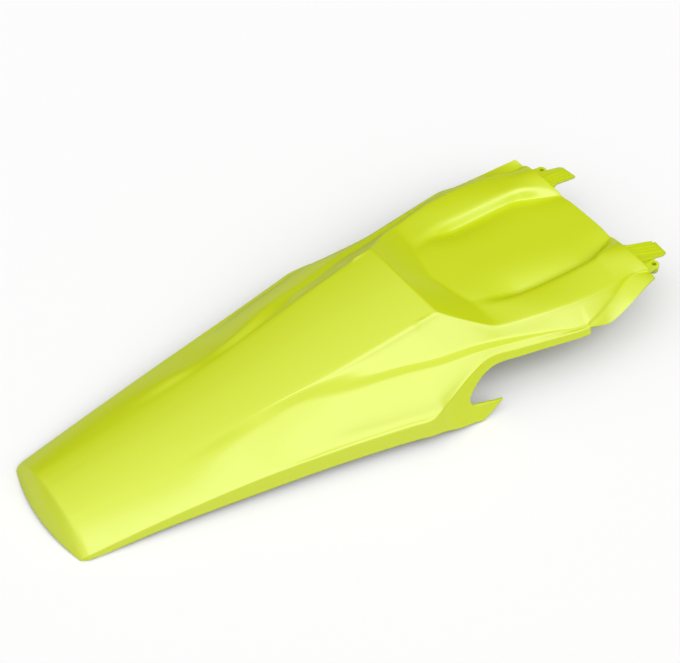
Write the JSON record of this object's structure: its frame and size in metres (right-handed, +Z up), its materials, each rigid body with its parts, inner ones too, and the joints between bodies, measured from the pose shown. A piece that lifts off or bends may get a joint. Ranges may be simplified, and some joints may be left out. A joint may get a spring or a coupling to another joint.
{
  "type": "motorcycle rear fender",
  "caption": "One-piece moulded rear fender with a ridged back, side skirts with hooks and notches, a seat recess and two ribbed mounting ears.",
  "frame": {"origin": "middle of the box's bottom face: halfway between the tail lip and the ear tips, on the symmetry plane, at the level the fender rests on", "axes": "+X forward toward the seat and the ears, +Y to the left side, +Z up; the fender is symmetric about Y = 0"},
  "size_m": [0.7, 0.267, 0.0949],
  "materials": {
    "fender_plastic": "satin gloss moulded, bright yellow-green"
  },
  "bodies": {
    "root": {"rear_fender": "fender_plastic"}
  },
  "joints": []
}
